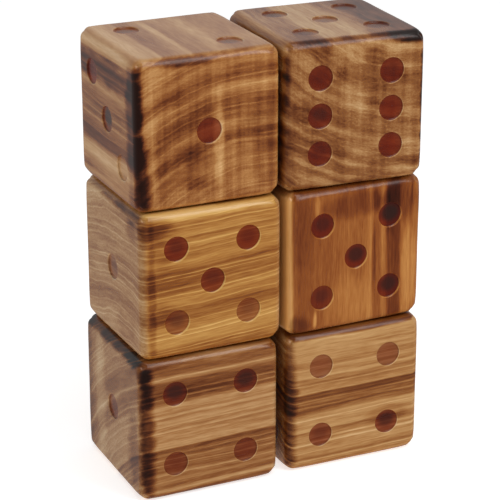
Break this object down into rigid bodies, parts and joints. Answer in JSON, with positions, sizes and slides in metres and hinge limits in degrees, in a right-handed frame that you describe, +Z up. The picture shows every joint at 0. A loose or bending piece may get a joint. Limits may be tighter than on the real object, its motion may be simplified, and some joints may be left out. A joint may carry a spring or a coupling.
{
  "type": "yard dice set",
  "caption": "Large solid wooden dice for lawn games: cubes with rounded edges and shallow drilled, darkened pips, stacked in columns.",
  "frame": {"origin": "on the surface the set stands on, under the middle of the stacked set's bounding box", "axes": "+X to the right along the front faces, +Y towards the back, +Z up"},
  "size_m": [0.1846, 0.0936, 0.2673],
  "materials": {
    "pine_bottom_left": "satin varnish over burnt pine",
    "pine_middle_left": "satin varnish over burnt pine",
    "pine_top_left": "satin varnish over burnt pine",
    "pine_bottom_right": "satin varnish over burnt pine",
    "pine_middle_right": "satin varnish over burnt pine",
    "pine_top_right": "satin varnish over burnt pine"
  },
  "bodies": {
    "bottom_left": {"die_bottom_left": "pine_bottom_left"},
    "middle_left": {"die_middle_left": "pine_middle_left"},
    "top_left": {"die_top_left": "pine_top_left"},
    "bottom_right": {"die_bottom_right": "pine_bottom_right"},
    "middle_right": {"die_middle_right": "pine_middle_right"},
    "top_right": {"die_top_right": "pine_top_right"}
  },
  "joints": [
    {"name": "middle_left_lift", "type": "slide", "parent": "bottom_left", "child": "middle_left", "axis": [0, 0, 1], "range_m": [0, 0.1]},
    {"name": "top_left_lift", "type": "slide", "parent": "middle_left", "child": "top_left", "axis": [0, 0, 1], "range_m": [0, 0.1]},
    {"name": "bottom_right_slide", "type": "slide", "parent": "bottom_left", "child": "bottom_right", "axis": [1, 0, 0], "range_m": [0, 0.1]},
    {"name": "middle_right_lift", "type": "slide", "parent": "bottom_right", "child": "middle_right", "axis": [0, 0, 1], "range_m": [0, 0.1]},
    {"name": "top_right_lift", "type": "slide", "parent": "middle_right", "child": "top_right", "axis": [0, 0, 1], "range_m": [0, 0.1]}
  ]
}
